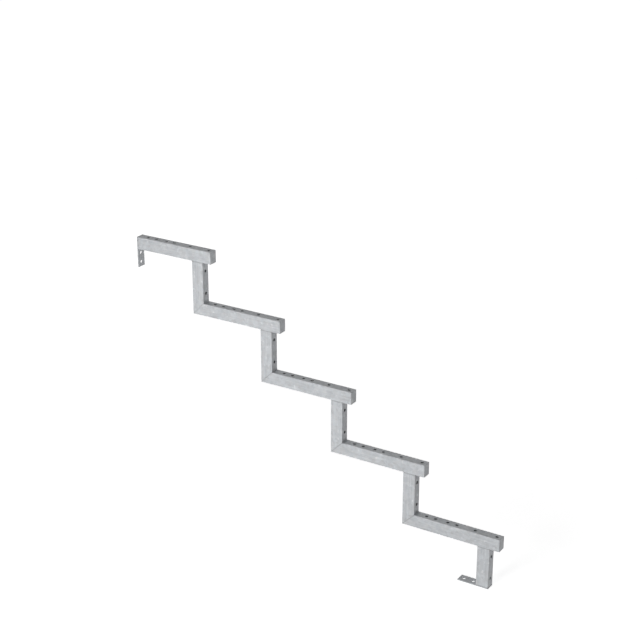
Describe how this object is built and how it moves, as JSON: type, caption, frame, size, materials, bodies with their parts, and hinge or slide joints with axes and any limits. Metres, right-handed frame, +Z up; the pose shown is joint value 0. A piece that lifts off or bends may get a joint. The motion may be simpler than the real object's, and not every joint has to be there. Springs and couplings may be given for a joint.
{
  "type": "stair stringer",
  "caption": "Zigzag stair stringer welded from galvanised rectangular steel tube, with bolt holes for treads and riser boards, capped noses, and drilled plates for wall and floor.",
  "frame": {"origin": "on the floor, midway between the two anchor holes of the floor plate, on the stringer's middle plane", "axes": "+X points the way the tread noses point, down the flight; +Y across the tube's width; +Z up"},
  "size_m": [1.28, 0.03, 0.865],
  "materials": {
    "galvanised_tube": "hot-dip galvanised, dull grey with a faint spangle",
    "galvanised_plate": "hot-dip galvanised, dull grey",
    "weld_seam": "dressed almost flush and galvanised over"
  },
  "bodies": {
    "root": {"tread_tube_1": "galvanised_tube", "tread_tube_2": "galvanised_tube", "tread_tube_3": "galvanised_tube", "tread_tube_4": "galvanised_tube", "tread_tube_5": "galvanised_tube", "riser_tube_1": "galvanised_tube", "riser_tube_2": "galvanised_tube", "riser_tube_3": "galvanised_tube", "riser_tube_4": "galvanised_tube", "riser_tube_5": "galvanised_tube", "wall_plate": "galvanised_plate", "floor_plate": "galvanised_plate", "end_cap_1": "galvanised_plate", "end_cap_2": "galvanised_plate", "end_cap_3": "galvanised_plate", "end_cap_4": "galvanised_plate", "end_cap_5": "galvanised_plate", "wall_plate_weld": "weld_seam", "floor_plate_weld": "weld_seam", "head_weld_1": "weld_seam", "head_weld_2": "weld_seam", "head_weld_3": "weld_seam", "head_weld_4": "weld_seam", "head_weld_5": "weld_seam", "corner_weld_1": "weld_seam", "corner_weld_2": "weld_seam", "corner_weld_3": "weld_seam", "corner_weld_4": "weld_seam"}
  },
  "joints": []
}
